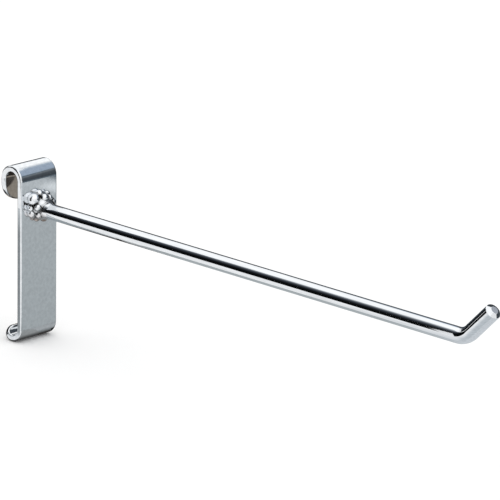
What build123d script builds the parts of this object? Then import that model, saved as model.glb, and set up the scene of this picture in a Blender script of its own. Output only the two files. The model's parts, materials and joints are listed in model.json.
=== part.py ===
from build123d import *
import math
import os

# Driving sizes in millimetres and degrees.
# X runs along the arm, away from the grid, Y along the grid wires and Z up.
# The origin is the centre of the upper grid wire, halfway across the back plate.

# The wire grid that the hook hangs on
GRID_PITCH = 76.2           # one grid wire to the next one down, centre to centre

# Back plate: one strip of sheet steel, bent over the upper wire and under the lower one
PLATE_WIDTH = 24.4
SHEET = 3.2
SEAT_RADIUS = 4.3           # inside of both bends
FLAP_DROP = 12.2            # end of the upper flap, below the upper wire's centre
TONGUE_DROP = 1.85          # end of the lower tongue, below the lower wire's centre
FLAP_CORNER_RADIUS = 10.0   # corners of the flap, in the flat strip
TONGUE_CORNER_RADIUS = 7.0  # corners of the tongue, in the flat strip
EDGE_RADIUS = 0.9           # tumbled edges of the strip

# Arm: a round wire with a turned-up tip
ARM_DIAMETER = 7.94
ARM_DROP = 15.0             # axis of the arm, below the upper wire's centre
ARM_REACH = 305.0           # front of the plate to the far end of the tip
TIP_ANGLE = 45.0            # rise of the tip
TIP_LENGTH = 24.0           # corner of the axis to the end face
TIP_BEND_RADIUS = 12.0      # at the wire's axis
TIP_CHAMFER = 2.0           # across the end face
TIP_CHAMFER_RUN = 1.3       # along the wire

# Collar: the root of the wire, upset into a dome with a ring of lobes where it is welded to the plate
DOME_RADIUS = 7.4
COLLAR_RISE = 1.4           # middle of the dome, above the axis of the arm
LOBE_RING_RADIUS = 6.6      # round the middle of the dome
LOBE_HEIGHT = 1.4           # centres of the lobes, out from the front of the plate
LOBES = {                   # angle from +Y towards +Z, and radius
    12: 2.2,
    56: 1.9,
    103: 2.4,
    139: 3.3,
    178: 1.8,
    204: 2.4,
    242: 1.6,
    285: 2.0,
    330: 2.0,
}

# How the tongue's rounded corners are drawn
ROUNDING_STEPS = 12
CORNER_OVERSHOOT = 0.1      # the trimming surface starts and stops this far outside the steel

# Sizes that follow from these
bend_radius = SEAT_RADIUS + SHEET
middle_radius = SEAT_RADIUS + SHEET / 2
half_width = PLATE_WIDTH / 2
plate_front = bend_radius
arm_radius = ARM_DIAMETER / 2
tip_rise = math.radians(TIP_ANGLE)
tip_run = (TIP_LENGTH - TIP_CHAMFER_RUN) * math.cos(tip_rise) + arm_radius * math.sin(tip_rise)
arm_corner_x = plate_front + ARM_REACH - tip_run
tongue_angle = math.pi - math.asin(TONGUE_DROP / bend_radius)


def lower_bend_point(radius, angle):
    """X and Z on a circle round the lower wire, the angle taken from the front, under it."""
    return (radius * math.cos(angle), -GRID_PITCH - radius * math.sin(angle))


def strip_profile():
    """Side view of the bent strip, in X and Z."""
    outer = bend_radius
    inner = SEAT_RADIUS
    tongue_outer = lower_bend_point(outer, tongue_angle)
    tongue_inner = lower_bend_point(inner, tongue_angle)
    return make_face([
        Line((-outer, -FLAP_DROP), (-outer, 0)),
        ThreePointArc((-outer, 0), (0, outer), (outer, 0)),
        Line((outer, 0), (outer, -GRID_PITCH)),
        ThreePointArc((outer, -GRID_PITCH), (0, -GRID_PITCH - outer), tongue_outer),
        Line(tongue_outer, tongue_inner),
        ThreePointArc(tongue_inner, (0, -GRID_PITCH - inner), (inner, -GRID_PITCH)),
        Line((inner, -GRID_PITCH), (inner, 0)),
        ThreePointArc((inner, 0), (0, inner), (-inner, 0)),
        Line((-inner, 0), (-inner, -FLAP_DROP)),
        Line((-inner, -FLAP_DROP), (-outer, -FLAP_DROP)),
    ])


def off_middle(point):
    """How far a point lies from the middle of the strip's thickness."""
    past_bend = max(point.Z, -GRID_PITCH - point.Z, 0)
    return abs(math.hypot(point.X, past_bend) - middle_radius)


def rim_edges(strip):
    """Edges round the inside and the outside face of the strip."""
    across = strip.edges().filter_by(Axis.Y)
    bend_lines = [e for e in across if min(abs(e.center().Z), abs(e.center().Z + GRID_PITCH)) < EDGE_RADIUS]
    on_faces = [e for e in strip.edges() if off_middle(e @ 0.5) > SHEET / 4]
    return [e for e in on_faces if e not in bend_lines]


def tongue_corner(side):
    """Surface that trims one corner of the tongue, its rounding wrapped round the lower bend."""
    trim_radius = TONGUE_CORNER_RADIUS + CORNER_OVERSHOOT
    rails = []
    for rail_radius in (SEAT_RADIUS / 2, bend_radius + SHEET):
        points = []
        for step in range(ROUNDING_STEPS + 1):
            turn = math.pi / 2 * step / ROUNDING_STEPS
            y = half_width - TONGUE_CORNER_RADIUS + trim_radius * math.cos(turn)
            from_end = TONGUE_CORNER_RADIUS - trim_radius * math.sin(turn)
            x, z = lower_bend_point(rail_radius, tongue_angle - from_end / middle_radius)
            points.append((x, side * y, z))
        rails.append(Spline(points))
    return Face.make_surface_from_curves(rails[0], rails[1])


def back_plate():
    """The strip at its full width, with its rim tumbled and both its ends rounded."""
    strip = extrude(Plane.XZ * strip_profile(), amount=half_width, both=True)
    flap_end = strip.faces().filter_by(Plane.XY).sort_by(Axis.Z)[-1]
    strip = fillet(flap_end.edges().filter_by(Axis.X), FLAP_CORNER_RADIUS)
    strip = fillet(rim_edges(strip), EDGE_RADIUS)
    for side in (-1, 1):
        pieces = split(strip, bisect_by=tongue_corner(side), keep=Keep.BOTH)
        strip = pieces.solids().sort_by(SortBy.VOLUME)[-1]
    return strip


def wire():
    """Round wire along the arm's axis, bent up at the tip and chamfered at its end."""
    end_x = arm_corner_x + TIP_LENGTH * math.cos(tip_rise)
    end_z = -ARM_DROP + TIP_LENGTH * math.sin(tip_rise)
    axis = FilletPolyline(
        (plate_front, 0, -ARM_DROP),
        (arm_corner_x, 0, -ARM_DROP),
        (end_x, 0, end_z),
        radius=TIP_BEND_RADIUS,
    )
    section = Plane(axis @ 0, z_dir=axis % 0) * Circle(arm_radius)
    rod = sweep(section, path=axis)
    end_edge = rod.edges().filter_by(GeomType.CIRCLE).sort_by(Axis.X)[-1]
    end_face = rod.faces().filter_by(GeomType.PLANE).sort_by(Axis.X)[-1]
    return chamfer(end_edge, TIP_CHAMFER, TIP_CHAMFER_RUN, reference=end_face)


def collar():
    """Dome round the root of the wire, with its ring of lobes, flat at the plate."""
    lumps = Pos(0, 0, COLLAR_RISE) * Sphere(DOME_RADIUS)
    for degrees, radius in LOBES.items():
        angle = math.radians(degrees)
        y = LOBE_RING_RADIUS * math.cos(angle)
        z = COLLAR_RISE + LOBE_RING_RADIUS * math.sin(angle)
        lumps = lumps + Pos(LOBE_HEIGHT, y, z) * Sphere(radius)
    span = 4 * DOME_RADIUS
    front_half = Box(span, span, span, align=(Align.MIN, Align.CENTER, Align.CENTER))
    return Pos(plate_front, 0, -ARM_DROP) * (lumps & front_half)


def main():
    os.makedirs("parts", exist_ok=True)
    nodes = {"back_plate": back_plate(), "hook_arm": wire() + collar()}
    for name, solid in nodes.items():
        export_step(solid, f"parts/{name}.step")
        print(name, "volume", round(solid.volume, 1), "size", solid.bounding_box().size)


main()
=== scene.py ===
# %% [markdown]
# # A chromed gridwall hook
# The hook is two pieces of steel, welded and then chromed in one bath: a folded back plate that clips
# over the wires of a grid panel, and a long round arm with a turned-up tip. The CAD model gives every
# size. Here each piece is modelled again with the smooth curves and soft edges that bright chrome shows
# up, because chrome is only as good as the shape that carries it and the room that it mirrors.

# %% Load the frame
import json
import math

import bmesh
import bpy
from mathutils import Matrix, Vector


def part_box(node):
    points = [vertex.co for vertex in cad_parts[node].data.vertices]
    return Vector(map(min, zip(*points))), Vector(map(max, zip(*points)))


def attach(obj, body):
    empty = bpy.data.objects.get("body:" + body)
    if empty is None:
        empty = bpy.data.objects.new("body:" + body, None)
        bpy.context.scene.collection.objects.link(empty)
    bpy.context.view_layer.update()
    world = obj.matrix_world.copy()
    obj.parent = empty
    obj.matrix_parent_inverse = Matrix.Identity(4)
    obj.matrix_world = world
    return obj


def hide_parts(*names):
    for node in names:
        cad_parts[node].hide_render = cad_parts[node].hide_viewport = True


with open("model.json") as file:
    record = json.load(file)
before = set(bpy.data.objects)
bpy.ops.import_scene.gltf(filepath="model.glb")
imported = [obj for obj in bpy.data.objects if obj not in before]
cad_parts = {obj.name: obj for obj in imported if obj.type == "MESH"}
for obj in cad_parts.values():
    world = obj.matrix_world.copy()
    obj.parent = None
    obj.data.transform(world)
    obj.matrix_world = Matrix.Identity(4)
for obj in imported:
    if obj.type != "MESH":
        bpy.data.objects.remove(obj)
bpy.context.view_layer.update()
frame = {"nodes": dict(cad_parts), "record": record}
scene = bpy.context.scene
scene.view_settings.view_transform = "Standard"
MM = 0.001
print("CAD nodes:", sorted(frame["nodes"]))

# %% [markdown]
# ## Sizes from the frame
# The plate's box gives its width and the thickness of the sheet. The record's mounts give the inside
# radius of the bends, the distance between two grid wires and the height of the arm. Reading them keeps
# this scene and the CAD model at one size. A size that neither of them tells is written in the step that
# first needs it, with the value that the CAD model has.

# %% Sizes from the frame
plate_low, plate_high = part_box("back_plate")
arm_low, arm_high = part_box("hook_arm")
mounts = {mount["name"]: mount for mount in frame["record"]["mounts"]}

SEAT_RADIUS = mounts["upper_wire_seat"]["dims"]["r_mm"] * MM
GRID_PITCH = -mounts["lower_wire_seat"]["pos_m"][2]
ARM_Z = mounts["arm_for_goods"]["pos_m"][2]
ARM_END = arm_high.x
PLATE_WIDTH = plate_high.y - plate_low.y
PLATE_FRONT = plate_high.x
SHEET = PLATE_FRONT - SEAT_RADIUS
print("plate", [round(v / MM, 2) for v in (PLATE_WIDTH, SHEET, SEAT_RADIUS, GRID_PITCH)], "mm")
print("arm from", round(arm_low.x / MM, 2), "to", round(ARM_END / MM, 2), "mm")

# %% [markdown]
# ## Two helpers
# Colours are written as the hex values that a paint chart or a colour picker shows. Blender works with
# linear light, so one function turns a hex value into linear numbers. The other adds a node to any tree,
# sets its properties and joins its inputs, which keeps every material and geometry tree below short
# enough to read.


# %% Colour and node helpers
def linear(hex_colour):
    """A hex colour as linear red, green and blue, with an alpha of one."""
    channels = [int(hex_colour[i:i + 2], 16) / 255 for i in (0, 2, 4)]
    return [c / 12.92 if c <= 0.04045 else ((c + 0.055) / 1.055) ** 2.4 for c in channels] + [1.0]


def add_node(tree, kind, inputs=None, **settings):
    """A new node with these settings, its inputs given as values or as the sockets that feed them."""
    node = tree.nodes.new(kind)
    for name, value in settings.items():
        setattr(node, name, value)
    for key, value in (inputs or {}).items():
        socket = node.inputs[key]
        if isinstance(value, bpy.types.NodeSocket):
            tree.links.new(value, socket)
        else:
            socket.default_value = value
    return node


print("white is", [round(c, 3) for c in linear("FFFFFF")])

# %% [markdown]
# ## Chrome on sheet steel
# Decorative chrome is a mirror a fraction of a micron thick over polished nickel. It is slightly blue and
# gives back two thirds of the light or more. On a stamped strip the nickel follows the rolled steel under
# it, so the mirror has a faint waviness of a few millimetres, and its colour and haze drift in small
# patches. An image could show this, but noise needs no unwrapping and has no seams. A fine noise drives
# the colour and the roughness, and a coarse one drives a very shallow bump.


# %% Plating and its patches
def new_chrome(name):
    """A metal material, its tree, its shader and the Object coordinates that its patterns follow."""
    material = bpy.data.materials.new(name)
    material.use_nodes = True
    tree = material.node_tree
    shader = tree.nodes["Principled BSDF"]
    shader.inputs["Metallic"].default_value = 1.0
    place = add_node(tree, "ShaderNodeTexCoord").outputs["Object"]
    return material, tree, shader, place


CLOUDED_HEX = "D8DBDE"
CLEAR_HEX = "E8EBEE"
CLOUDED_AT = 0.3
CLEAR_AT = 0.7


def mottle(tree, shader, noise):
    """Lets the plating's colour drift between clouded and clear with this noise."""
    ramp = add_node(tree, "ShaderNodeValToRGB", {"Fac": noise})
    clouded, clear = ramp.color_ramp.elements
    clouded.position = CLOUDED_AT
    clouded.color = linear(CLOUDED_HEX)
    clear.position = CLEAR_AT
    clear.color = linear(CLEAR_HEX)
    tree.links.new(ramp.outputs["Color"], shader.inputs["Base Color"])


print("plating drifts from", CLOUDED_HEX, "to", CLEAR_HEX)

# %% Chrome on sheet steel
HAZE_MM = 1.6
WAVE_MM = 9.0
WAVE_DEPTH = 0.02 * MM

chrome_sheet, tree, shader, place = new_chrome("bright_chrome_on_rolled_sheet_steel")
haze = add_node(
    tree, "ShaderNodeTexNoise", {"Vector": place, "Scale": 1 / (HAZE_MM * MM), "Detail": 3.0}
).outputs["Fac"]
mottle(tree, shader, haze)
roughness = add_node(tree, "ShaderNodeMapRange", {"Value": haze, "To Min": 0.05, "To Max": 0.09})
tree.links.new(roughness.outputs["Result"], shader.inputs["Roughness"])
wave = add_node(
    tree, "ShaderNodeTexNoise", {"Vector": place, "Scale": 1 / (WAVE_MM * MM), "Detail": 1.0}
).outputs["Fac"]
bump = add_node(tree, "ShaderNodeBump", {"Height": wave, "Strength": 0.15, "Distance": WAVE_DEPTH})
tree.links.new(bump.outputs["Normal"], shader.inputs["Normal"])
print("made", chrome_sheet.name)

# %% [markdown]
# ## Chrome on a sheared edge
# The blank's edges were sheared and tumbled before plating. Chrome doesn't level such a surface, so the
# narrow edges look satin beside the bright faces: the same metal, with a higher roughness that changes
# along the edge. A material of its own on the edge faces is simpler than a mask inside the other one.

# %% Chrome on a sheared edge
EDGE_HEX = "E0E3E6"
SHEAR_MM = 3.0
SHEAR_DEPTH = 0.15 * MM

chrome_edge, tree, shader, place = new_chrome("chrome_on_sheared_and_tumbled_edge")
shader.inputs["Base Color"].default_value = linear(EDGE_HEX)
shear = add_node(
    tree, "ShaderNodeTexNoise", {"Vector": place, "Scale": 1 / (SHEAR_MM * MM), "Detail": 4.0}
).outputs["Fac"]
roughness = add_node(tree, "ShaderNodeMapRange", {"Value": shear, "To Min": 0.12, "To Max": 0.42})
tree.links.new(roughness.outputs["Result"], shader.inputs["Roughness"])
bump = add_node(tree, "ShaderNodeBump", {"Height": shear, "Strength": 0.4, "Distance": SHEAR_DEPTH})
tree.links.new(bump.outputs["Normal"], shader.inputs["Normal"])
print("made", chrome_edge.name)

# %% [markdown]
# ## Chrome on drawn wire
# The arm has the same plating on drawn wire. Drawing leaves faint lines along the wire, finer than a
# picture of the whole hook can show, so they are drawn a little coarser. A Wave texture would make them
# too even. Noise that is stretched along X, twenty times longer than it is wide, looks drawn.

# %% Chrome on drawn wire
DRAW_LINE_MM = 0.7
DRAW_LINE_DEPTH = 0.004 * MM
DRAW_STRETCH = 20.0

chrome_wire, tree, shader, place = new_chrome("bright_chrome_on_drawn_steel_wire")
along = add_node(tree, "ShaderNodeMapping", {"Vector": place, "Scale": (1 / DRAW_STRETCH, 1, 1)})
lines = add_node(tree, "ShaderNodeTexNoise", {
    "Vector": along.outputs["Vector"],
    "Scale": 1 / (DRAW_LINE_MM * MM),
    "Detail": 2.0,
}).outputs["Fac"]
mottle(tree, shader, lines)
roughness = add_node(tree, "ShaderNodeMapRange", {"Value": lines, "To Min": 0.03, "To Max": 0.07})
tree.links.new(roughness.outputs["Result"], shader.inputs["Roughness"])
bump = add_node(tree, "ShaderNodeBump", {"Height": lines, "Strength": 0.1, "Distance": DRAW_LINE_DEPTH})
tree.links.new(bump.outputs["Normal"], shader.inputs["Normal"])
print("made", chrome_wire.name)

# %% [markdown]
# ## Chrome over the weld
# The root of the arm was welded before plating. The creases of the weld are dull, and their colour is
# painted near black as well: that dark is painted shade. The bulges between them are less bright than the
# drawn wire, and the underside is painted a warm, darker colour, which is painted shade too. The creases
# could be painted by hand, but the Ambient Occlusion node finds them by itself: it is one where the metal
# lies open, and it falls where metal of the same piece stands close in front of it. The painted warm shade
# grows downwards from the wire's axis.

# %% Painted warm shade on the underside
PAINTED_UNDERSIDE_SHADE_HEX = "B09A8C"
UNDERSIDE_SHADE_DEPTH = 7.0 * MM

chrome_weld, tree, shader, place = new_chrome("chrome_over_a_weld_with_dull_and_painted_dark_creases")
height = add_node(tree, "ShaderNodeSeparateXYZ", {"Vector": place}).outputs["Z"]
low_down = add_node(tree, "ShaderNodeMapRange", {
    "Value": height,
    "From Min": ARM_Z,
    "From Max": ARM_Z - UNDERSIDE_SHADE_DEPTH,
}).outputs["Result"]
# Painted shade: the colour turns a warm, darker brown from the wire's axis downwards.
with_underside_shade = add_node(
    tree, "ShaderNodeMix", {0: low_down, 6: linear(CLEAR_HEX), 7: linear(PAINTED_UNDERSIDE_SHADE_HEX)}, data_type="RGBA"
).outputs[2]
print("tint reaches", round(UNDERSIDE_SHADE_DEPTH / MM, 1), "mm down")

# %% Dull creases with painted shade
PAINTED_CREASE_SHADE_HEX = "141312"
CREASE_REACH = 2.2 * MM
CREASE_SHARE = 0.82
OPEN_SHARE = 0.95

open_share = add_node(
    tree, "ShaderNodeAmbientOcclusion", {"Distance": CREASE_REACH}, samples=24, only_local=True
).outputs["AO"]
out_of_creases = add_node(tree, "ShaderNodeMapRange", {
    "Value": open_share,
    "From Min": CREASE_SHARE,
    "From Max": OPEN_SHARE,
}).outputs["Result"]
# Painted shade: where the Ambient Occlusion finds a crease, the colour goes to near black.
colour = add_node(
    tree, "ShaderNodeMix", {0: out_of_creases, 6: linear(PAINTED_CREASE_SHADE_HEX), 7: with_underside_shade}, data_type="RGBA"
).outputs[2]
tree.links.new(colour, shader.inputs["Base Color"])
roughness = add_node(tree, "ShaderNodeMapRange", {"Value": out_of_creases, "To Min": 0.4, "To Max": 0.17})
tree.links.new(roughness.outputs["Result"], shader.inputs["Roughness"])
print("made", chrome_weld.name)

# %% [markdown]
# ## The back plate
# In the factory a blank with rounded ends is stamped out of strip, its edges are tumbled soft, and a
# press bends one end over and the other end up. The mesh is made in the same order: a flat outline is
# given its thickness, its edges are bevelled, it is cut across into narrow rows where it will bend, and
# then every point is moved onto the bent strip. A grid with a Solidify modifier could do the bends too,
# but its edges would pinch at the rounded corners.

# %% Outline of the flat blank
FLAP_DROP = 12.2 * MM
TONGUE_DROP = 1.85 * MM
FLAP_CORNER_RADIUS = 10.0 * MM
TONGUE_CORNER_RADIUS = 7.0 * MM
CORNER_STEPS = 18
MIDDLE_RADIUS = SEAT_RADIUS + SHEET / 2
BEND_RADIUS = SEAT_RADIUS + SHEET

tongue_turn = math.pi - math.asin(TONGUE_DROP / BEND_RADIUS)
upper_start = FLAP_DROP
upper_end = upper_start + math.pi * MIDDLE_RADIUS
lower_start = upper_end + GRID_PITCH
blank_length = lower_start + tongue_turn * MIDDLE_RADIUS


def blank_outline():
    """Corners of the flat blank, lengthways and across, in order round its edge."""
    half = PLATE_WIDTH / 2
    points = []
    for quarter in range(4):
        at_tongue = quarter in (1, 2)
        radius = TONGUE_CORNER_RADIUS if at_tongue else FLAP_CORNER_RADIUS
        centre_s = blank_length - radius if at_tongue else radius
        centre_y = radius - half if quarter in (0, 1) else half - radius
        for step in range(CORNER_STEPS + 1):
            turn = math.pi + quarter * math.pi / 2 + step / CORNER_STEPS * math.pi / 2
            s = centre_s + radius * math.cos(turn)
            y = centre_y + radius * math.sin(turn)
            points.append((s, y))
    return points


outline = blank_outline()
print("blank", round(blank_length / MM, 1), "mm long with", len(outline), "corners")

# %% Thickness and soft edges
EDGE_RADIUS = 0.9 * MM
EDGE_STEPS = 6
ROUND_PROFILE = 0.5

blank = bmesh.new()
bottom = blank.faces.new([blank.verts.new((s, y, -SHEET / 2)) for s, y in outline])
raised = bmesh.ops.extrude_face_region(blank, geom=[bottom])
top_points = [item for item in raised["geom"] if isinstance(item, bmesh.types.BMVert)]
bmesh.ops.translate(blank, verts=top_points, vec=(0, 0, SHEET))
bmesh.ops.recalc_face_normals(blank, faces=blank.faces)
rims = [edge for edge in blank.edges if abs(edge.verts[0].co.z - edge.verts[1].co.z) < SHEET / 4]
bmesh.ops.bevel(
    blank,
    geom=rims,
    offset=EDGE_RADIUS,
    segments=EDGE_STEPS,
    profile=ROUND_PROFILE,
    affect="EDGES",
    offset_type="OFFSET",
)
print("soft blank has", len(blank.faces), "faces")

# %% Rows for the bends, and the sheared edge
FLAP_STEPS = 3
BEND_STEPS = 48
FLAT_STEPS = 12
EDGE_SLOT = 1
EDGE_TILT = 0.1


def row_stations():
    """Distances along the blank where it is cut into rows: close together in the bends."""
    spans = [
        (0.0, upper_start, FLAP_STEPS),
        (upper_start, upper_end, BEND_STEPS),
        (upper_end, lower_start, FLAT_STEPS),
        (lower_start, blank_length, BEND_STEPS),
    ]
    stations = []
    for start, end, count in spans:
        stations += [start + (end - start) * step / count for step in range(count)]
    return stations[1:]


def all_of(mesh):
    """Everything in a mesh, as the cutting tools take it."""
    return mesh.verts[:] + mesh.edges[:] + mesh.faces[:]


for station in row_stations():
    bmesh.ops.bisect_plane(blank, geom=all_of(blank), plane_co=(station, 0, 0), plane_no=(1, 0, 0))
for face in blank.faces:
    if abs(face.normal.z) < EDGE_TILT:
        face.material_index = EDGE_SLOT
print("blank in rows has", len(blank.faces), "faces")


# %% Bend the blank
def bent(point):
    """Where a point of the flat blank lies on the bent strip."""
    s, y, out = point
    radius = MIDDLE_RADIUS + out
    if s < upper_start:
        return Vector((-radius, y, s - upper_start))
    if s < upper_end:
        turn = (s - upper_start) / MIDDLE_RADIUS
        return Vector((-radius * math.cos(turn), y, radius * math.sin(turn)))
    if s < lower_start:
        return Vector((radius, y, upper_end - s))
    turn = (s - lower_start) / MIDDLE_RADIUS
    return Vector((radius * math.cos(turn), y, -GRID_PITCH - radius * math.sin(turn)))


for vertex in blank.verts:
    vertex.co = bent(vertex.co)
bmesh.ops.recalc_face_normals(blank, faces=blank.faces)
plate_mesh = bpy.data.meshes.new("folded_back_plate")
blank.to_mesh(plate_mesh)
blank.free()
print("bent strip has", len(plate_mesh.vertices), "points")

# %% [markdown]
# ## From mesh to piece
# A mesh is only points and faces: an object puts it into the scene and carries its modifiers. Modifiers
# stay open to change, but the finished hook should be plain meshes, so one function works a piece's
# modifiers into its mesh. On the plate, a Weighted Normal modifier lets the large faces rule the shading,
# so that the flat stays flat in the mirror right up to its rounded edges.


# %% Piece helpers
def keep_as_piece(name, mesh, *materials):
    """A smooth object at the origin that holds this mesh."""
    mesh.materials.clear()
    for material in materials:
        mesh.materials.append(material)
    mesh.shade_smooth()
    piece = bpy.data.objects.new(name, mesh)
    scene.collection.objects.link(piece)
    return piece


def settle(piece):
    """Works a piece's modifiers into a plain mesh, and makes a curve a mesh object."""
    graph = bpy.context.evaluated_depsgraph_get()
    mesh = bpy.data.meshes.new_from_object(piece.evaluated_get(graph))
    mesh.name = piece.name
    piece.modifiers.clear()
    if piece.type == "MESH":
        piece.data = mesh
        return piece
    settled = bpy.data.objects.new(piece.name + "_mesh", mesh)
    scene.collection.objects.link(settled)
    bpy.data.objects.remove(piece)
    return settled


back_plate = keep_as_piece("folded_back_plate", plate_mesh, chrome_sheet, chrome_edge)
print("made", back_plate.name)

# %% Finish the back plate
LARGE_FACE_WEIGHT = 80

even = back_plate.modifiers.new("even_shading", "WEIGHTED_NORMAL")
even.mode = "FACE_AREA"
even.weight = LARGE_FACE_WEIGHT
settle(back_plate)
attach(back_plate, "root")
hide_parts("back_plate")
print("back plate has", len(back_plate.data.polygons), "faces")

# %% [markdown]
# ## The arm
# The arm is one length of round wire, bent up near its end and chamfered so that carded goods slide on
# easily. A cylinder could be bent with a modifier, but its bend would stretch. The wire follows a path,
# so Geometry Nodes sweep it: the path's corner is filleted to the bend radius, a circle is carried along
# it, and the last point is scaled down to make the chamfer.

# %% Path of the arm
WIRE_RADIUS = 7.94 / 2 * MM
TIP_LENGTH = 24.0 * MM
TIP_ANGLE = math.radians(45)
TIP_CHAMFER = 2.0 * MM
TIP_CHAMFER_RUN = 1.3 * MM
ROOT_GAP = 0.4 * MM

tip_direction = Vector((math.cos(TIP_ANGLE), 0, math.sin(TIP_ANGLE)))
tip_run = (TIP_LENGTH - TIP_CHAMFER_RUN) * math.cos(TIP_ANGLE) + WIRE_RADIUS * math.sin(TIP_ANGLE)
corner = Vector((ARM_END - tip_run, 0, ARM_Z))
path_points = [
    Vector((PLATE_FRONT + ROOT_GAP, 0, ARM_Z)),
    corner,
    corner + tip_direction * (TIP_LENGTH - TIP_CHAMFER_RUN),
    corner + tip_direction * TIP_LENGTH,
]
path = bpy.data.curves.new("arm_path", "CURVE")
path.dimensions = "3D"
spline = path.splines.new("POLY")
spline.points.add(len(path_points) - 1)
for point, spot in zip(spline.points, path_points):
    point.co = (*spot, 1)
arm = bpy.data.objects.new("arm", path)
scene.collection.objects.link(arm)
print("arm's corner at", [round(v / MM, 2) for v in corner], "mm")


# %% Geometry tree helpers
def new_geometry_tree(name, sizes):
    """A geometry tree with a geometry input and these named inputs, given as name to socket type."""
    tree = bpy.data.node_groups.new(name, "GeometryNodeTree")
    tree.interface.new_socket("Geometry", in_out="OUTPUT", socket_type="NodeSocketGeometry")
    tree.interface.new_socket("Geometry", in_out="INPUT", socket_type="NodeSocketGeometry")
    for size, kind in sizes.items():
        tree.interface.new_socket(size, in_out="INPUT", socket_type=kind)
    return tree, tree.nodes.new("NodeGroupInput").outputs, tree.nodes.new("NodeGroupOutput").inputs


def finish_tree(tree, geometry, material, result):
    """Makes what the tree grew real, gives it its material and hands it out."""
    real = add_node(tree, "GeometryNodeRealizeInstances", {"Geometry": geometry}).outputs["Geometry"]
    finished = add_node(tree, "GeometryNodeSetMaterial", {"Geometry": real, "Material": material})
    tree.links.new(finished.outputs["Geometry"], result["Geometry"])


def grow(obj, tree, values):
    """Puts the tree on an object as a modifier, with its named inputs set."""
    modifier = obj.modifiers.new(tree.name, "NODES")
    modifier.node_group = tree
    for item in tree.interface.items_tree:
        if item.in_out == "INPUT" and item.name in values:
            modifier[item.identifier] = values[item.name]


tree, given, result = new_geometry_tree("swept_wire", {
    "Wire Radius": "NodeSocketFloat",
    "Bend Radius": "NodeSocketFloat",
    "Tip Scale": "NodeSocketFloat",
    "Bend Steps": "NodeSocketInt",
    "Round Steps": "NodeSocketInt",
    "Material": "NodeSocketMaterial",
})
print("new tree", tree.name, "with", len(given) - 1, "inputs")

# %% Tree that sweeps the wire
CORNER_INDEX = 1.0
HALF_STEP = 0.5

number = add_node(tree, "GeometryNodeInputIndex").outputs["Index"]
at_corner = add_node(
    tree, "ShaderNodeMath", {0: number, 1: CORNER_INDEX, 2: HALF_STEP}, operation="COMPARE"
).outputs[0]
bend = add_node(
    tree, "ShaderNodeMath", {0: at_corner, 1: given["Bend Radius"]}, operation="MULTIPLY"
).outputs[0]
rounded = add_node(
    tree,
    "GeometryNodeFilletCurve",
    {"Curve": given["Geometry"], "Count": given["Bend Steps"], "Radius": bend},
    mode="POLY",
).outputs["Curve"]
at_end = add_node(tree, "GeometryNodeCurveEndpointSelection", {"Start Size": 0, "End Size": 1}).outputs[0]
scale = add_node(
    tree,
    "GeometryNodeSwitch",
    {"Switch": at_end, "False": 1.0, "True": given["Tip Scale"]},
    input_type="FLOAT",
).outputs[0]
circle = add_node(tree, "GeometryNodeCurvePrimitiveCircle", {
    "Resolution": given["Round Steps"],
    "Radius": given["Wire Radius"],
}).outputs["Curve"]
swept = add_node(tree, "GeometryNodeCurveToMesh", {
    "Curve": rounded,
    "Profile Curve": circle,
    "Scale": scale,
    "Fill Caps": True,
}).outputs["Mesh"]
finish_tree(tree, swept, given["Material"], result)
print("tree", tree.name, "has", len(tree.nodes), "nodes")

# %% Sweep the wire
TIP_BEND_RADIUS = 12.0 * MM
TIP_BEND_STEPS = 32
WIRE_STEPS = 72

grow(arm, tree, {
    "Wire Radius": WIRE_RADIUS,
    "Bend Radius": TIP_BEND_RADIUS,
    "Tip Scale": (WIRE_RADIUS - TIP_CHAMFER) / WIRE_RADIUS,
    "Bend Steps": TIP_BEND_STEPS,
    "Round Steps": WIRE_STEPS,
    "Material": chrome_wire,
})
arm = settle(arm)
print("swept wire has", len(arm.data.polygons), "faces")

# %% [markdown]
# ## The collar
# Where the arm meets the plate, the hot wire was pressed flat and swelled into a dome, a little higher
# than the wire itself. A ring of soft lobes lies round it on the plate, and a few shallow ones sit nearer
# the wire. The dome is a sphere, and a short cone flares the wire into it. Sculpting could draw the lobes,
# but balls with given places and sizes can be moved one by one: Geometry Nodes set a ball on each point,
# with the size that the point carries as an attribute. A Remesh modifier then melts dome, cone and lobes
# into one skin, and a Smooth modifier rounds the creases, as the metal did when it cooled.

# %% Dome of the collar
COLLAR_RISE = 1.4 * MM
COLLAR_Z = ARM_Z + COLLAR_RISE
DOME_RADIUS = 7.4 * MM
DOME_STEPS = 64
FLARE_START = 4.0 * MM
FLARE_LENGTH = 5.5 * MM
FLARE_RADIUS = 4.9 * MM
FLARE_SINK = 0.05 * MM

dome = bmesh.new()
bmesh.ops.create_uvsphere(
    dome,
    u_segments=DOME_STEPS,
    v_segments=DOME_STEPS // 2,
    radius=DOME_RADIUS,
    matrix=Matrix.Translation((PLATE_FRONT, 0, COLLAR_Z)),
)
bmesh.ops.create_cone(
    dome,
    cap_ends=True,
    segments=DOME_STEPS,
    radius1=FLARE_RADIUS,
    radius2=WIRE_RADIUS - FLARE_SINK,
    depth=FLARE_LENGTH,
    matrix=Matrix.Translation((PLATE_FRONT + FLARE_START + FLARE_LENGTH / 2, 0, ARM_Z))
    @ Matrix.Rotation(math.pi / 2, 4, "Y"),
)
dome_mesh = bpy.data.meshes.new("collar")
dome.to_mesh(dome_mesh)
dome.free()
collar = keep_as_piece("collar", dome_mesh, chrome_weld)
print("dome and flare have", len(dome_mesh.polygons), "faces")

# %% Places of the lobes
RING_RADIUS = 6.6 * MM
RING_HEIGHT = 1.4 * MM
RING_LOBES_MM = {12: 2.2, 56: 1.9, 103: 2.4, 139: 3.3, 178: 1.8, 204: 2.4, 242: 1.6, 285: 2.0, 330: 2.0}
INNER_RADIUS = 5.1 * MM
INNER_HEIGHT = 4.4 * MM
INNER_LOBES_MM = {20: 1.9, 60: 1.8, 98: 2.1, 170: 1.9, 216: 2.0}


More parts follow.
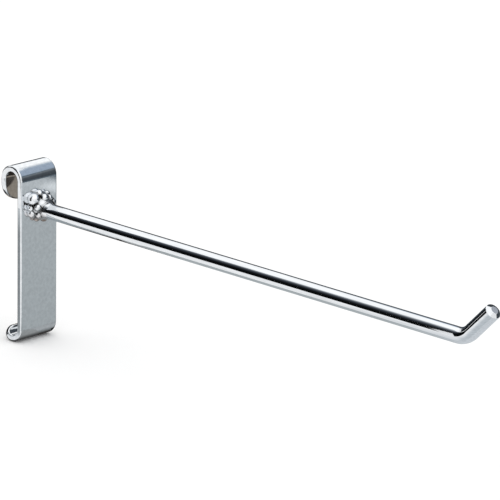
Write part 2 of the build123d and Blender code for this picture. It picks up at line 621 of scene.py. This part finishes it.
def on_ring(degrees, radius, height):
    """A place round the middle of the dome, this far from the plate, its angle from +Y towards +Z."""
    angle = math.radians(degrees)
    return (PLATE_FRONT + height, radius * math.cos(angle), COLLAR_Z + radius * math.sin(angle))


lobe_places = [on_ring(degrees, RING_RADIUS, RING_HEIGHT) for degrees in RING_LOBES_MM]
lobe_places += [on_ring(degrees, INNER_RADIUS, INNER_HEIGHT) for degrees in INNER_LOBES_MM]
lobe_radii = [radius * MM for radius in [*RING_LOBES_MM.values(), *INNER_LOBES_MM.values()]]
lobe_mesh = bpy.data.meshes.new("lobes")
lobe_mesh.from_pydata(lobe_places, [], [])
lobe_radius = lobe_mesh.attributes.new("lobe_radius", "FLOAT", "POINT")
lobe_radius.data.foreach_set("value", lobe_radii)
lobes = bpy.data.objects.new("lobes", lobe_mesh)
scene.collection.objects.link(lobes)
print("places for", len(lobe_places), "lobes")


# %% A ball on each place
def merge(piece, other):
    """Makes the other object's mesh part of this piece."""
    both = [piece, other]
    with bpy.context.temp_override(
        active_object=piece, object=piece, selected_objects=both, selected_editable_objects=both
    ):
        bpy.ops.object.join()


LOBE_FACETS = 4

tree, given, result = new_geometry_tree("ring_of_lobes", {
    "Facets": "NodeSocketInt",
    "Material": "NodeSocketMaterial",
})
ball = add_node(tree, "GeometryNodeMeshIcoSphere", {"Radius": 1.0, "Subdivisions": given["Facets"]})
size = add_node(tree, "GeometryNodeInputNamedAttribute", {"Name": "lobe_radius"}, data_type="FLOAT")
placed = add_node(tree, "GeometryNodeInstanceOnPoints", {
    "Points": given["Geometry"],
    "Instance": ball.outputs["Mesh"],
    "Scale": size.outputs["Attribute"],
}).outputs["Instances"]
finish_tree(tree, placed, given["Material"], result)
grow(lobes, tree, {"Facets": LOBE_FACETS, "Material": chrome_weld})
settle(lobes)
merge(collar, lobes)
print("lobes and dome have", len(collar.data.polygons), "faces")

# %% Melt them together
VOXEL = 0.16 * MM
COOL_SHARE = 0.5
COOL_ROUNDS = 5

melt = collar.modifiers.new("melt", "REMESH")
melt.mode = "VOXEL"
melt.voxel_size = VOXEL
cool = collar.modifiers.new("cool", "SMOOTH")
cool.factor = COOL_SHARE
cool.iterations = COOL_ROUNDS
settle(collar)
print("melted collar has", len(collar.data.polygons), "faces")

# %% Cut it flat at the plate
trimmed = bmesh.new()
trimmed.from_mesh(collar.data)
cut = bmesh.ops.bisect_plane(
    trimmed,
    geom=all_of(trimmed),
    plane_co=(PLATE_FRONT, 0, 0),
    plane_no=(1, 0, 0),
    clear_inner=True,
)
cut_edges = [item for item in cut["geom_cut"] if isinstance(item, bmesh.types.BMEdge)]
bmesh.ops.holes_fill(trimmed, edges=cut_edges)
bmesh.ops.recalc_face_normals(trimmed, faces=trimmed.faces)
trimmed.to_mesh(collar.data)
trimmed.free()
collar.data.shade_smooth()
print("collar has", len(collar.data.polygons), "faces")

# %% [markdown]
# ## One piece of wire
# Collar and wire are the same metal, so they become one object. A Bevel modifier rounds the two edges of
# the tip's chamfer, which catch a thin bright line on the real hook, and weighted normals keep the flat
# end face flat. More rings in the sweep could round these edges too, but the modifier finds them by their
# angle alone.

# %% Join the collar to the wire
SOFT_EDGE = 0.25 * MM
SOFT_STEPS = 3
SHARP_ANGLE = math.radians(30)

soften = arm.modifiers.new("soft_chamfer", "BEVEL")
soften.width = SOFT_EDGE
soften.segments = SOFT_STEPS
soften.limit_method = "ANGLE"
soften.angle_limit = SHARP_ANGLE
arm.data.shade_smooth()
even = arm.modifiers.new("even_shading", "WEIGHTED_NORMAL")
even.mode = "FACE_AREA"
settle(arm)

hook_arm = keep_as_piece("hook_arm_wire", arm.data, chrome_wire)
bpy.data.objects.remove(arm)
merge(hook_arm, collar)
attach(hook_arm, "root")
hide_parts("hook_arm")
print("arm has", len(hook_arm.data.polygons), "faces")

# %% [markdown]
# ## Floor
# The hook stands on a plain table of matt white paper, which takes its soft shadow. The paper lies a hair
# under the lowest point of the plate, so that the two don't share a surface, and it is wide enough that
# no view from above the table sees its end.

# %% Floor
FLOOR_GAP = 0.3 * MM
FLOOR_Z = plate_low.z - FLOOR_GAP
FLOOR_REACH = 4.0
PAPER_HEX = "F7F7F7"


def stage_sheet(name, corners, material):
    """A flat four-sided object that belongs to the set, not to the hook."""
    mesh = bpy.data.meshes.new(name)
    mesh.from_pydata(corners, [], [(0, 1, 2, 3)])
    mesh.materials.append(material)
    obj = bpy.data.objects.new(name, mesh)
    scene.collection.objects.link(obj)
    return obj


paper = bpy.data.materials.new("matt_white_table_paper")
paper.use_nodes = True
shader = paper.node_tree.nodes["Principled BSDF"]
shader.inputs["Base Color"].default_value = linear(PAPER_HEX)
shader.inputs["Roughness"].default_value = 1.0
shader.inputs["Specular IOR Level"].default_value = 0.0
floor_corners = [(-1, -1), (1, -1), (1, 1), (-1, 1)]
stage_sheet("floor", [(x * FLOOR_REACH, y * FLOOR_REACH, FLOOR_Z) for x, y in floor_corners], paper)
print("floor at", round(FLOOR_Z / MM, 1), "mm")

# %% [markdown]
# ## Cards for the chrome
# Chrome has no colour of its own: it shows the room. In a room that is white all round it would look like
# white plastic, so a studio sets cards beside and under it, and each one draws a band in the metal. An
# image of a studio wrapped round the world could do that too, but cards stand near the hook, where each
# band can be put in its place. Every card is a sheet whose glow changes along one axis. Only glossy rays
# see it, so it stands in no view's way, throws no shadow and takes no light off the floor.


# %% Card helpers
def glow_material(name, stops, axis):
    """Light whose colour changes along one axis: each stop is a place in metres and its hex colour."""
    material = bpy.data.materials.new(name)
    material.use_nodes = True
    tree = material.node_tree
    tree.nodes.clear()
    place = add_node(tree, "ShaderNodeTexCoord").outputs["Object"]
    parts = add_node(tree, "ShaderNodeSeparateXYZ", {"Vector": place})
    low, high = stops[0][0], stops[-1][0]
    share = add_node(
        tree, "ShaderNodeMapRange", {"Value": parts.outputs[axis], "From Min": low, "From Max": high}
    ).outputs["Result"]
    ramp = add_node(tree, "ShaderNodeValToRGB", {"Fac": share})
    while len(ramp.color_ramp.elements) < len(stops):
        ramp.color_ramp.elements.new(0.5)
    for element, (spot, hex_colour) in zip(ramp.color_ramp.elements, stops):
        element.position = (spot - low) / (high - low)
        element.color = linear(hex_colour)
    glow = add_node(tree, "ShaderNodeEmission", {"Color": ramp.outputs["Color"], "Strength": 1.0})
    add_node(tree, "ShaderNodeOutputMaterial", {"Surface": glow.outputs["Emission"]})
    return material


def card(name, corners, stops, axis):
    """A glowing card that shows in reflections and nowhere else."""
    obj = stage_sheet(name, corners, glow_material(name, stops, axis))
    obj.visible_camera = False
    obj.visible_diffuse = False
    obj.visible_shadow = False
    obj.visible_transmission = False
    print("set", name)


def wall(name, start, end, stops):
    """An upright card from one place on the plan to another, as high as its stops."""
    low, high = stops[0][0], stops[-1][0]
    card(name, [(*start, low), (*end, low), (*end, high), (*start, high)], stops, "Z")


CARD_LIFT = 0.1 * MM


def table_card(name, near, far, stops, lift=CARD_LIFT):
    """A card that lies on the table from near to far across it, as long as its stops run along X."""
    left, right, z = stops[0][0], stops[-1][0], FLOOR_Z + lift
    card(name, [(left, near, z), (right, near, z), (right, far, z), (left, far, z)], stops, "X")


print("cards lie", CARD_LIFT / MM, "mm over the table")

# %% [markdown]
# ## Walls round the table
# From the camera's side, a wire along X mirrors what lies towards -X. The near wall is the black band along
# the middle of the arm, and it turns white upwards, where the band ends softly. The far walls and the back
# one are the thin dark line along the arm's upper edge. The roll at the top of the plate mirrors the far
# side as well: the batten is its darkest stripe and the blue card its cool sheen.

# %% Near and back walls
NEAR_Y = -0.29
FAR_Y = 0.21
BACK_X = -0.60

wall("near_black_card", (-0.45, NEAR_Y), (0.04, NEAR_Y), [
    (FLOOR_Z, "0A0B0C"),
    (0.10, "0E0F11"),
    (0.195, "30343A"),
    (0.31, "50555C"),
    (0.52, "B0B4B8"),
    (0.95, "FFFFFF"),
])
wall("back_black_card", (BACK_X, NEAR_Y), (BACK_X, FAR_Y), [
    (FLOOR_Z, "0C0D0F"),
    (0.12, "14181C"),
    (0.25, "50555C"),
])

# %% Far walls
BATTEN_Y = 0.06
BLUE_LEFT = -0.06
BLUE_RIGHT = 0.60
BLUE_LOW = 0.15
BLUE_HIGH = 0.26

wall("far_black_card", (-0.03, FAR_Y), (0.42, FAR_Y), [
    (FLOOR_Z, "64707A"),
    (-0.03, "50585E"),
    (0.031, "404A50"),
    (0.085, "545E68"),
    (0.135, "6C7882"),
    (0.150, "A4B2C4"),
])
wall("far_side_black_card", (-2.0, FAR_Y), (-0.03, FAR_Y), [
    (FLOOR_Z, "14181C"),
    (0.05, "2A343C"),
    (0.085, "44525C"),
])
wall("dark_batten", (-0.05, BATTEN_Y), (0.40, BATTEN_Y), [
    (-0.01, "40464C"),
    (0.02, "50565C"),
    (0.036, "80868C"),
])
blue_corners = [
    (BLUE_LEFT, FAR_Y, BLUE_LOW),
    (BLUE_RIGHT, FAR_Y, BLUE_LOW),
    (BLUE_RIGHT, FAR_Y, BLUE_HIGH),
    (BLUE_LEFT, FAR_Y, BLUE_HIGH),
]
card("far_blue_card", blue_corners, [
    (BLUE_LEFT, "FFFFFF"),
    (-0.02, "F0F4F8"),
    (0.01, "BCC9D6"),
    (0.06, "A6B4C6"),
    (0.22, "A6B4C6"),
    (0.30, "B2B6BE"),
    (BLUE_RIGHT, "B2B6BE"),
], "X")

# %% [markdown]
# ## Cards on the table
# The front of the plate mirrors the table to its right, so a pale grey card there makes the plate grey and
# a bright strip at its far corner is the streak under the roll. A darker card under the plate, a painted
# shadow of the hook, and a brown one behind it serve the lower bend, the plate's back and the inside of the
# loop. The tip's underside has a grey card of its own. A small card at the root is a painted shadow that
# darkens the underside of the collar, and a long wedge is the grey line along the arm's lower edge. Where
# two cards cross, one lies a little higher.

# %% Wide cards on the table
table_card("grey_table_card", -0.03, FAR_Y, [
    (0.02, "B0B6B8"),
    (0.10, "B4BABC"),
    (0.20, "B8BEC0"),
    (0.26, "DADEE2"),
    (0.60, "DADEE2"),
])
# Painted shadow: the dark stops near X = 0 stand for the hook's own shadow on the table, as the lower bend
# mirrors it.
table_card("painted_shadow_table_card", -0.012, FAR_Y, [
    (-0.06, "4A4540"),
    (-0.01, "34312E"),
    (0.0045, "3A3836"),
    (0.007, "8A8E90"),
    (0.010, "B4B8BA"),
    (0.02, "A8ACAE"),
])
table_card("brown_table_card", 0.0, FAR_Y, [
    (-0.60, "6E665C"),
    (-0.25, "A89C8E"),
    (-0.06, "A89C8E"),
])
table_card("tip_table_card", -0.25, -0.03, [
    (0.13, "FFFFFF"),
    (0.21, "F0F2F4"),
    (0.27, "CCD2D6"),
    (0.60, "C8CED2"),
])

# %% Narrow cards that lie over them
UPPER_LIFT = 0.15 * MM
WEDGE_LIFT = 0.2 * MM
WEDGE_Z = FLOOR_Z + WEDGE_LIFT
WEDGE_TIP = -0.02
WEDGE_END = -0.32

table_card("streak_card", 0.190, FAR_Y, [
    (0.190, "B8BEC0"),
    (0.203, "F4F8FA"),
    (0.215, "F4F8FA"),
], UPPER_LIFT)
# Painted shadow: the dark part of this card stands for the shade under the collar, as its underside mirrors
# it.
table_card("painted_root_shadow_card", -0.014, 0.004, [
    (-0.03, "2E2E2E"),
    (0.0045, "4A4A4A"),
    (0.008, "9A9C9C"),
    (0.05, "B0B6B8"),
], UPPER_LIFT)
wedge_corners = [
    (WEDGE_TIP, -0.012, WEDGE_Z),
    (WEDGE_TIP, 0.0, WEDGE_Z),
    (WEDGE_END, 0.06, WEDGE_Z),
    (WEDGE_END, -0.14, WEDGE_Z),
]
card("dark_wedge_card", wedge_corners, [
    (WEDGE_END, "484C50"),
    (WEDGE_TIP, "303438"),
], "X")

# %% [markdown]
# ## Small cards close to the hook
# Some parts mirror only what is right beside them. A grey card along the plate's near edge is painted shade
# beside the plate, and keeps that edge from going white. A black one behind the curl and a brown one behind
# the loop paint shade into their insides, which would otherwise mirror the white table, and a dark one
# behind the tip draws the line on its upper side.

# %% Small cards close to the hook
SIDE_Y = -0.0145
CURL_Y = 0.0126
LOOP_Y = 0.014
TIP_Y = 0.05

# Painted shade: a grey card beside the plate's near edge.
wall("painted_side_shade_card", (-0.012, SIDE_Y), (0.0055, SIDE_Y), [
    (FLOOR_Z, "FFFFFF"),
    (-0.0815, "F4F6F8"),
    (-0.0785, "A8ACAE"),
    (-0.070, "94989A"),
    (-0.027, "94989A"),
    (-0.014, "D0D4D6"),
])
# Painted shade: a near-black card that darkens the inside of the curl.
wall("painted_curl_shade_card", (-0.024, CURL_Y), (0.007, CURL_Y), [
    (FLOOR_Z, "101214"),
    (-0.066, "1C2022"),
])
# Painted shade: a brown card, darkest low down, that darkens the inside of the loop.
wall("painted_loop_shade_card", (-0.0045, LOOP_Y), (0.007, LOOP_Y), [
    (-0.026, "241F1C"),
    (-0.016, "3A342F"),
    (-0.008, "6A6058"),
    (0.004, "8A7E74"),
])
wall("tip_dark_card", (0.25, TIP_Y), (0.305, TIP_Y), [
    (0.0, "30363A"),
    (0.11, "484E54"),
])

# %% [markdown]
# ## Lamp and world
# One large square lamp hangs over the table, as a softbox would, and gives the hook its soft shadow. The
# rest of the light comes from a white world. What the camera and the metal see of that world is exactly
# white, and the light that it sheds is a little less, so that the paper stays just under white. A Light
# Path node tells the two apart.

# %% Lamp
SOFTBOX_SIZE = 4.0
SOFTBOX_WATTS = 12.0
SOFTBOX_PLACE = (0.1, 0.0, 1.0)

lamp = bpy.data.lights.new("overhead_softbox", "AREA")
lamp.shape = "RECTANGLE"
lamp.size = SOFTBOX_SIZE
lamp.size_y = SOFTBOX_SIZE
lamp.energy = SOFTBOX_WATTS
softbox = bpy.data.objects.new("overhead_softbox", lamp)
softbox.location = SOFTBOX_PLACE
scene.collection.objects.link(softbox)
print("softbox of", SOFTBOX_WATTS, "W")

# %% World
FILL = 0.95

world = bpy.data.worlds.new("white_studio")
world.use_nodes = True
scene.world = world
tree = world.node_tree
background = tree.nodes["Background"].inputs
background["Color"].default_value = linear("FFFFFF")
rays = add_node(tree, "ShaderNodeLightPath").outputs
seen = add_node(
    tree, "ShaderNodeMath", {0: rays["Is Camera Ray"], 1: rays["Is Glossy Ray"]}, operation="MAXIMUM"
).outputs[0]
seen = add_node(
    tree, "ShaderNodeMath", {0: seen, 1: rays["Is Transmission Ray"]}, operation="MAXIMUM"
).outputs[0]
strength = add_node(tree, "ShaderNodeMapRange", {"Value": seen, "To Min": FILL, "To Max": 1.0})
tree.links.new(strength.outputs["Result"], background["Strength"])
print("world sheds", FILL, "and shows 1.0")

# %% [markdown]
# ## Camera
# The view is nearly flat, as from a long lens a good two metres away. The angles come from matching the
# hook's own edges to the photograph, so the camera is placed by its angles, its distance and the point
# that it looks at. A constraint could aim it as well, but not with this small roll.

# %% Where the camera stands
AZIMUTH = math.radians(44.395)
ELEVATION = math.radians(16.696)
DISTANCE = 2.2296
AIM = Vector((0.150, 0.0, -0.040))
SLIDE = (0.003435, 0.033386)

back = Vector((
    math.sin(AZIMUTH) * math.cos(ELEVATION),
    -math.cos(AZIMUTH) * math.cos(ELEVATION),
    math.sin(ELEVATION),
))
right = Vector((math.cos(AZIMUTH), math.sin(AZIMUTH), 0))
up = back.cross(right)
eye = AIM + right * SLIDE[0] + up * SLIDE[1] + back * DISTANCE
print("camera at", [round(v, 3) for v in eye])

# %% The camera itself
ROLL = math.radians(-0.895)
LENS_MM = 335.22
SENSOR_MM = 36.0
CLIP_END = 100

turned_right = right * math.cos(ROLL) - up * math.sin(ROLL)
turned_up = right * math.sin(ROLL) + up * math.cos(ROLL)
camera = bpy.data.objects.new("camera", bpy.data.cameras.new("camera"))
camera.data.lens = LENS_MM
camera.data.sensor_width = SENSOR_MM
camera.data.clip_end = CLIP_END
camera.matrix_world = Matrix((
    (turned_right.x, turned_up.x, back.x, eye.x),
    (turned_right.y, turned_up.y, back.y, eye.y),
    (turned_right.z, turned_up.z, back.z, eye.z),
    (0, 0, 0, 1),
))
scene.collection.objects.link(camera)
scene.camera = camera
print("lens", LENS_MM, "mm")

# %% [markdown]
# ## Last update
# The hook is meant to fill the same box as the CAD solids that it replaces, and only the softened edge of
# the tip may differ, by a few hundredths of a millimetre. This step only brings the view layer up to date.

# %% Bring the view layer up to date
bpy.context.view_layer.update()
